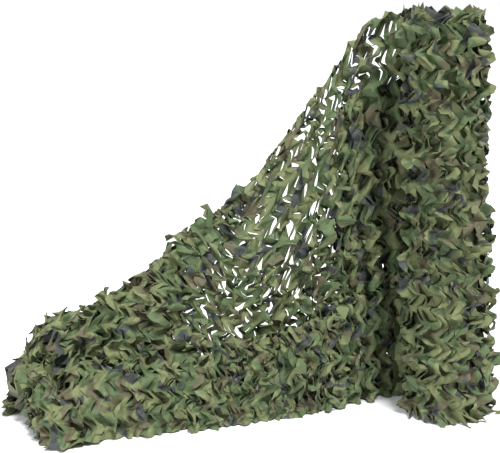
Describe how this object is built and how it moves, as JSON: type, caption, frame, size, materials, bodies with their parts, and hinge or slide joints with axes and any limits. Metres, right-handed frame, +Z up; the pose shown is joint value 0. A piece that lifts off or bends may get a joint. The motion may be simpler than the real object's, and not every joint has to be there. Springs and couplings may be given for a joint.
{
  "type": "camouflage netting, a standing roll with its free end drawn out",
  "caption": "Roll of slit, leaf-cut netting stood on end, its free end drawn out sideways and sagging into a low heap on the floor.",
  "frame": {"origin": "centre of the roll's foot, on the floor", "axes": "+Z up along the roll; the free end is drawn out towards -X; -Y is the front, which the lower fold faces"},
  "size_m": [1.8994, 0.6369, 1.5109],
  "materials": {
    "net_cloth": "printed woven cloth, matt"
  },
  "bodies": {
    "root": {"roll": "net_cloth", "loose_end": "net_cloth"}
  },
  "joints": []
}
